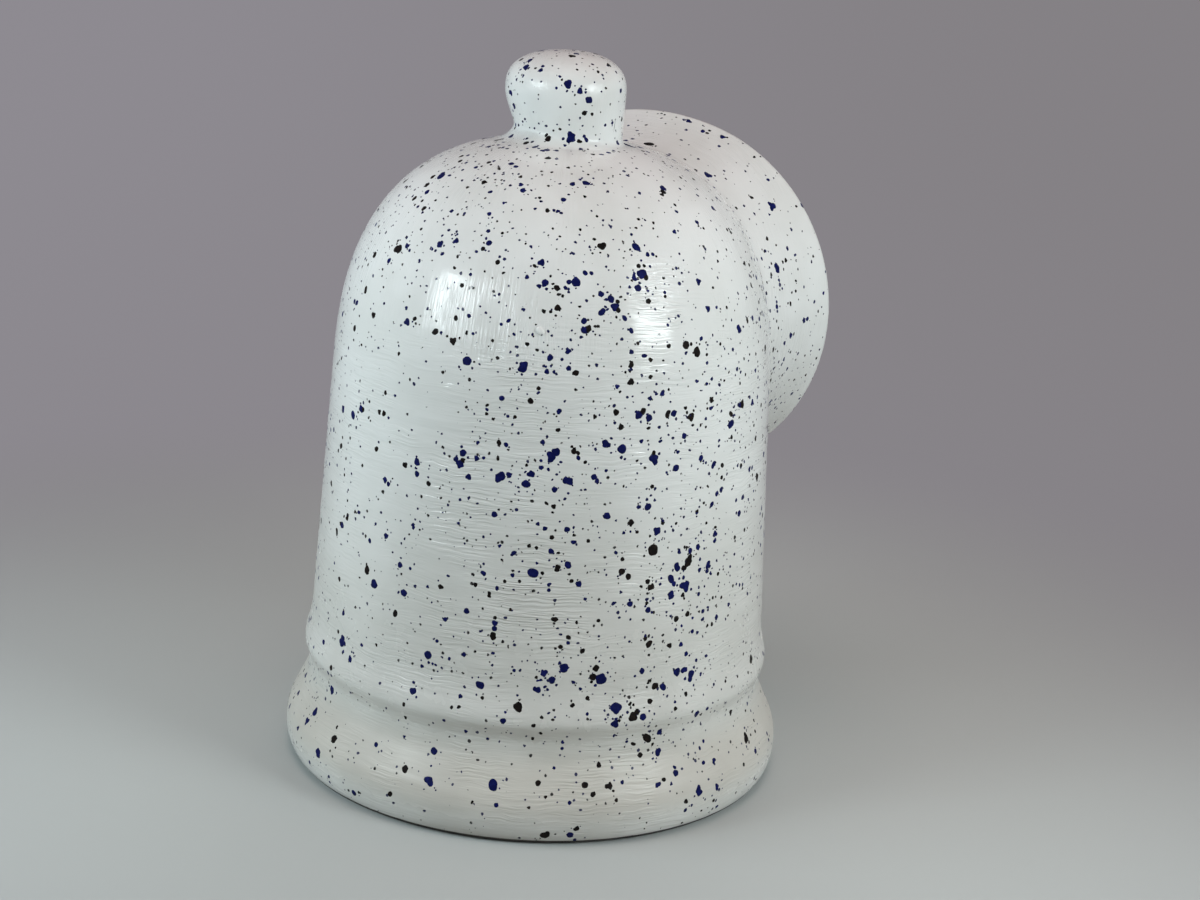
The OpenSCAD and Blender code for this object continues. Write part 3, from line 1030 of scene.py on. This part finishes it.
# Spatter drops: column and row in the photograph, and width there
NAVY_SEEN = (
    (440, 244, 7), (456, 241, 6), (489, 243, 6), (467, 361, 9), (523, 367, 10), (550, 358, 6), (441, 176, 9),
    (427, 192, 6), (545, 283, 7), (407, 322, 7), (586, 183, 7), (663, 188, 7), (708, 175, 8), (772, 206, 9),
    (636, 247, 8), (642, 274, 10), (638, 288, 7), (576, 282, 9), (569, 282, 5), (611, 299, 7), (615, 307, 8),
    (601, 294, 6), (602, 312, 7), (584, 321, 6), (739, 329, 8), (777, 268, 9), (568, 351, 6), (361, 409, 7),
    (353, 415, 8), (343, 409, 7), (417, 462, 7), (463, 453, 7), (460, 464, 8), (500, 477, 10), (509, 475, 6),
    (531, 474, 7), (526, 484, 8), (551, 457, 9), (556, 452, 8), (385, 480, 6), (342, 525, 7), (386, 536, 6),
    (533, 573, 10), (374, 584, 9), (404, 593, 7), (400, 565, 6), (639, 415, 8), (649, 418, 7), (731, 424, 9),
    (606, 444, 8), (622, 449, 9), (654, 459, 10), (568, 481, 9), (594, 477, 6), (597, 481, 5), (701, 458, 6),
    (676, 468, 7), (648, 507, 7), (607, 516, 7), (657, 531, 8), (708, 565, 7), (707, 571, 5), (677, 567, 8),
    (698, 547, 6), (568, 565, 7), (685, 586, 11), (671, 579, 8), (674, 584, 5), (671, 595, 8), (630, 604, 6),
    (648, 610, 6), (564, 668, 9), (601, 679, 11), (642, 671, 6), (677, 672, 8), (684, 670, 7), (691, 674, 8),
    (690, 679, 6), (663, 687, 7), (616, 708, 11), (615, 724, 8), (643, 717, 7), (658, 752, 7), (342, 641, 10),
    (428, 655, 8), (350, 659, 6), (332, 690, 8), (413, 691, 7), (480, 685, 8), (315, 712, 8), (307, 721, 7),
    (318, 753, 9), (434, 751, 7), (429, 781, 9), (493, 785, 10), (503, 721, 6), (544, 673, 7), (552, 680, 7),
    (538, 690, 6), (699, 791, 9), (717, 787, 6), (570, 835, 7), (526, 67, 7), (568, 84, 8), (580, 91, 6),
    (589, 100, 7), (514, 106, 6), (571, 137, 9), (535, 147, 6), (547, 150, 6),
)
BROWN_SEEN = (
    (398, 249, 10), (453, 341, 7), (557, 288, 6), (602, 246, 8), (588, 329, 7), (686, 345, 8), (697, 352, 9),
    (405, 465, 6), (367, 570, 8), (691, 417, 8), (742, 404, 8), (731, 414, 6), (574, 451, 6), (621, 427, 6),
    (653, 550, 11), (688, 562, 9), (690, 557, 6), (651, 587, 7), (649, 644, 7), (593, 677, 7), (655, 686, 7),
    (633, 717, 9), (647, 738, 9), (746, 738, 9), (751, 659, 8), (518, 707, 9), (334, 739, 8), (405, 769, 7),
    (493, 636, 7), (609, 786, 7), (545, 835, 9), (572, 56, 7), (548, 139, 6), (526, 143, 6), (649, 144, 9),
    (757, 477, 8),
)
GLAZE_BLISTER = (540, 331, 9)

# How many more drops there are, and their radii
LARGE_UNSEEN = 120
LARGE_R = (0.75 * MM, 1.6 * MM)
MIDDLE_DROPS = 1900
MIDDLE_R = (0.40 * MM, 0.85 * MM)
SMALLER_MORE = 1.7
SATELLITES = 4
SATELLITE_R = (0.16 * MM, 0.42 * MM)
SATELLITE_REACH = (1.3, 3.2)
DROP_HEIGHT = 0.04 * MM
BLISTER_HEIGHT = 0.45 * MM
DROP_SIDES = 16
FINE_SIDES = 10
FINE_BELOW = 0.8 * MM
DROP_SPREAD = 1.08
# Rings of a drop: share of its radius and of its height
DROP_RINGS = ((0.45, 0.95), (0.85, 0.75), (1.15, -0.70))
# Lobes round a drop's edge, and how far they stand out
DROP_LOBES = ((2, 0.13), (3, 0.10), (4, 0.06), (5, 0.05), (7, 0.03))
DROP_EDGE = (0.6, 1.45)
DROP_ROOT = 2
CAST = 4 * MM
BURIED_START = 0.2 * MM
BURIED_REACH = 12 * MM
HEART = (0, 0, 0.09)
SPATTER_SEED = 31


def outer_tree(pieces):
    """All the pieces in one tree for casting rays."""
    vertices = []
    faces = []
    for piece in pieces:
        start = len(vertices)
        vertices += [v.co.copy() for v in piece.data.vertices]
        faces += [[start + i for i in p.vertices] for p in piece.data.polygons]
    return BVHTree.FromPolygons(vertices, faces)


def drop_mesh(tree, place, normal, radius, height, rng):
    """Points and faces of one low drop that lies on the glaze, its rim and its underside sunk into it."""
    across = normal.orthogonal().normalized()
    along = normal.cross(across)
    sides = FINE_SIDES if radius < FINE_BELOW else DROP_SIDES
    turn = turns(sides)
    edge = np.ones(sides)
    for lobes, share in DROP_LOBES:
        edge += share * rng.normal() * np.cos(lobes * turn + rng.uniform(0, 2 * np.pi))
    edge = np.clip(edge, *DROP_EDGE)
    top = tree.ray_cast(place + CAST * normal, -normal, 2 * CAST)[0] or place
    points = [top + height * normal, top - DROP_ROOT * height * normal]
    for out, lift in DROP_RINGS:
        for a, r in zip(turn, radius * out * edge):
            flat = place + float(r * np.cos(a)) * across + float(r * np.sin(a)) * along
            hit = tree.ray_cast(flat + CAST * normal, -normal, 2 * CAST)[0]
            points.append((hit or flat) + lift * height * normal)
    faces = []
    for j in range(sides):
        k = (j + 1) % sides
        faces.append((0, 2 + j, 2 + k))
        for ring in range(len(DROP_RINGS) - 1):
            low = 2 + ring * sides
            high = low + sides
            faces.append((low + j, high + j, high + k, low + k))
        last = 2 + (len(DROP_RINGS) - 1) * sides
        faces.append((1, last + k, last + j))
    return points, faces


def between(rng, ends, power=1.0):
    low, high = ends
    return low * (high / low) ** (rng.uniform() ** power)


def buried(tree, place, normal):
    """Whether a point of one piece lies inside another piece."""
    hit = tree.ray_cast(place + BURIED_START * normal, normal, BURIED_REACH)
    return hit[0] is not None and hit[1].dot(normal) > 0


def scattered(pieces, tree, rng, count, unseen_only):
    """Random places on the glazed pieces, by the chance of spatter there."""
    eye = bpy.context.scene.camera.matrix_world.translation
    polygons = [p for piece in pieces for p in piece.data.polygons]
    centres = np.array([p.center for p in polygons])
    normals = np.array([p.normal for p in polygons])
    areas = np.array([p.area for p in polygons])
    weight = areas * spatter_chance(centres)
    weight *= np.where(((centres - np.array(HEART)) * normals).sum(axis=1) < 0, SPATTER_INSIDE, 1.0)
    if unseen_only:
        weight *= ((np.array(eye) - centres) * normals).sum(axis=1) < 0
    found = []
    for i in rng.choice(len(areas), size=2 * count, replace=False, p=weight / weight.sum()):
        place = Vector(centres[i])
        normal = Vector(normals[i])
        if not buried(tree, place, normal):
            found.append((place, normal))
    return found[:count]


def make_drops(pieces, tree):
    """The larger drops: those that the photograph shows, others on its unseen sides, and their satellites."""
    rng = np.random.default_rng(SPATTER_SEED)
    glazed = [p for p in pieces if not p.name.startswith("floor")]
    drops = []
    for slot, seen in enumerate((NAVY_SEEN, BROWN_SEEN)):
        for column, row, width in seen:
            place, normal, scale = seen_place(tree, column, row)
            drops.append((place, normal, DROP_SPREAD * width * scale / 2, slot))
    for place, normal in scattered(glazed, tree, rng, LARGE_UNSEEN, True):
        drops.append((place, normal, between(rng, LARGE_R, SMALLER_MORE), int(rng.uniform() < BROWN_SHARE)))
    for place, normal, radius, slot in list(drops):
        for _ in range(rng.integers(0, SATELLITES + 1)):
            way = Vector(rng.normal(size=3))
            way = (way - way.dot(normal) * normal).normalized()
            flat = place + radius * float(rng.uniform(*SATELLITE_REACH)) * way
            hit, facing, _, _ = tree.ray_cast(flat + CAST * normal, -normal, 2 * CAST)
            if hit:
                drops.append((hit, facing, between(rng, SATELLITE_R), slot))
    for place, normal in scattered(glazed, tree, rng, MIDDLE_DROPS, False):
        drops.append((place, normal, between(rng, MIDDLE_R, SMALLER_MORE), int(rng.uniform() < BROWN_SHARE)))
    place, normal, scale = seen_place(tree, *GLAZE_BLISTER[:2])
    shapes = [drop_mesh(tree, p, n, r, DROP_HEIGHT, rng) for p, n, r, _ in drops]
    shapes.append(drop_mesh(tree, place, normal, GLAZE_BLISTER[2] * scale / 2, BLISTER_HEIGHT, rng))
    slots = [slot for _, _, _, slot in drops] + [2]
    vertices = []
    faces = []
    face_slots = []
    for (points, sides), slot in zip(shapes, slots):
        start = len(vertices)
        vertices += points
        faces += [[start + i for i in side] for side in sides]
        face_slots += [slot] * len(sides)
    return add_object("spatter_drops", vertices, faces, [navy_drops, brown_drops, body_glaze], face_slots)


# The photograph's camera

def make_camera():
    data = bpy.data.cameras.new("photo_camera")
    data.sensor_width = SENSOR
    data.lens = IMAGE_FOCAL * SENSOR / IMAGE_WIDTH
    data.clip_start = CLIP_START
    camera = bpy.data.objects.new("photo_camera", data)
    bpy.context.scene.collection.objects.link(camera)
    camera.matrix_world = (
        Matrix.Rotation(math.pi + MOUTH_TURN, 4, "Z")
        @ Matrix.Translation((0, -CAMERA_DISTANCE, CAMERA_HEIGHT))
        @ Matrix.Rotation(-CAMERA_YAW, 4, "Z")
        @ Matrix.Rotation(math.pi / 2 - CAMERA_PITCH, 4, "X")
        @ Matrix.Rotation(CAMERA_ROLL, 4, "Z")
    )
    bpy.context.scene.camera = camera


def seen_place(tree, column, row):
    """Where the camera's ray through a pixel meets the pot, the normal there, and the size of a pixel."""
    view = bpy.context.scene.camera.matrix_world
    way = Vector(((column - IMAGE_WIDTH / 2) / IMAGE_FOCAL, (IMAGE_HEIGHT / 2 - row) / IMAGE_FOCAL, -1))
    place, normal, _, far = tree.ray_cast(view.translation, (view.to_3x3() @ way).normalized())
    return place, normal, far / (IMAGE_FOCAL * way.length)


# The pieces and what each stands for
PIECES = (
    (make_body, "body_bell", "glaze"),
    (make_floor, "floor_slab", "bare_clay"),
    (make_floor_coil, "floor_join_coil", "glaze"),
    (make_collar, "mouth_collar", "glaze"),
    (make_mouth_coil, "mouth_join_coil", "glaze"),
    (make_knob, "knob", "glaze"),
    (make_knob_coil, "knob_join_coil", "glaze"),
)
make_camera()
pieces = []
for make, node, slot in PIECES:
    piece = make()
    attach(piece, "root")
    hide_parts(node)
    pieces.append(piece)
pot = outer_tree(pieces)
drops = make_drops(pieces, pot)
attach(drops, "root")
for piece in pieces + [drops]:
    brush_and_spatter(piece, pot)


# Stage and lights

FLOOR_COLOUR = (0.465, 0.485, 0.475)
FLOOR_BOUNCE = (0.22, 0.20, 0.165)
BACKDROP_LEFT = (0.270, 0.256, 0.283)
BACKDROP_RIGHT = (0.232, 0.219, 0.233)
BACKDROP_FROM = 0.11
BACKDROP_FULL = 0.36
BACKDROP_SIDES = (-0.5, 0.5)
FLOOR_ROUGHNESS = 0.7
FLOOR_RINGS = (0.02, 0.4)
FLOOR_END = 1.1
SWEEP_R = 0.5
SWEEP_STEPS = 16
BACKDROP_TOP = 2.0
STAGE_SEGMENTS = 96


def stage_material():
    """Pale floor that keeps the shadow near the pot and turns into an even mauve grey backdrop further out."""
    n = Nodes("studio_sweep")
    left = Vector((math.cos(MOUTH_TURN), math.sin(MOUTH_TURN), 0))
    side = n.vector("DOT_PRODUCT", n.place, left, out="Value")
    backdrop = n.add("Emission", n.mix(n.ramp(side, *BACKDROP_SIDES), BACKDROP_RIGHT, BACKDROP_LEFT))
    path = n.add("LightPath").outputs
    direct = n.calc("MAXIMUM", path["Is Camera Ray"], path["Is Glossy Ray"])
    direct = n.calc("MAXIMUM", direct, path["Is Transmission Ray"])
    n.paint("Base Color", n.mix(direct, FLOOR_BOUNCE, FLOOR_COLOUR))
    n.paint("Roughness", FLOOR_ROUGHNESS)
    far = n.vector("LENGTH", n.place, out="Value")
    share = n.calc("MULTIPLY", n.ramp(far, BACKDROP_FROM, BACKDROP_FULL), direct)
    mixed = n.add("MixShader", share, n.shader.outputs[0], backdrop.outputs[0])
    n.feed(mixed.outputs[0], n.tree.nodes["Material Output"].inputs["Surface"])
    return n.material


def make_stage():
    arc = np.linspace(0, np.pi / 2, SWEEP_STEPS)
    curve = stacked(FLOOR_END + SWEEP_R * np.sin(arc), SWEEP_R - SWEEP_R * np.cos(arc))
    flat = [[r, 0] for r in FLOOR_RINGS]
    outline = np.concatenate([flat, curve, [[FLOOR_END + SWEEP_R, BACKDROP_TOP]]])
    points = turned_points(outline, STAGE_SEGMENTS)
    rows, columns = points.shape[:2]
    faces = grid_faces(rows, columns, False) + [tuple(range(columns))[::-1]]
    stage = add_object("studio_floor", points.reshape(-1, 3), faces, [stage_material()])


# Lamps: direction from the pot, distance, size, power, colour, and whether the glaze mirrors them
LAMPS = {
    "softbox_left": ((0.493, 0.822, 0.285), 0.42, (0.12, 0.14), 0.54, (0.86, 0.975, 1.0), True),
    "softbox_right": ((-0.931, 0.228, 0.285), 0.42, (0.14, 0.15), 0.53, (0.90, 0.99, 1.0), True),
    "near_left": ((0.72, 0.60, 0.20), 0.40, (0.22, 0.22), 0.81, (0.80, 0.95, 1.0), False),
    "near_right": ((-0.95, 0.15, 0.20), 0.40, (0.22, 0.22), 0.68, (0.91, 0.99, 1.0), False),
    "fill_top": ((0.0, 0.15, 1.0), 0.6, (0.4, 0.4), 1.04, (1.0, 0.69, 0.63), False),
    "fill_back": ((-0.45, -0.60, 0.66), 0.8, (0.6, 0.6), 0.6, (1.0, 0.94, 0.97), False),
    "fill_mouth": ((0.25, -0.90, 0.40), 0.75, (0.5, 0.5), 1.15, (1.0, 0.985, 0.97), False),
}
LAMP_TARGET = (0, 0, 0.13)
WORLD_COLOUR = (1.0, 0.97, 0.955)
WORLD_STRENGTH = 0.07


def make_lamp(name, direction, distance, size, power, colour, mirrored):
    lamp = bpy.data.lights.new(name, "AREA")
    lamp.shape = "RECTANGLE"
    lamp.size, lamp.size_y = size
    lamp.energy = power
    lamp.color = colour
    obj = bpy.data.objects.new(name, lamp)
    bpy.context.scene.collection.objects.link(obj)
    way = Vector(direction).normalized()
    obj.location = Vector(LAMP_TARGET) + distance * way
    obj.rotation_mode = "QUATERNION"
    obj.rotation_quaternion = way.to_track_quat("Z", "Y")
    obj.visible_camera = False
    obj.visible_glossy = mirrored


def make_world():
    world = bpy.data.worlds.new("soft_room")
    world.use_nodes = True
    back = world.node_tree.nodes["Background"]
    back.inputs["Color"].default_value = (*WORLD_COLOUR, 1)
    back.inputs["Strength"].default_value = WORLD_STRENGTH
    bpy.context.scene.world = world


make_stage()
for name, setting in LAMPS.items():
    make_lamp(name, *setting)
make_world()
bpy.context.scene.view_settings.view_transform = "Standard"
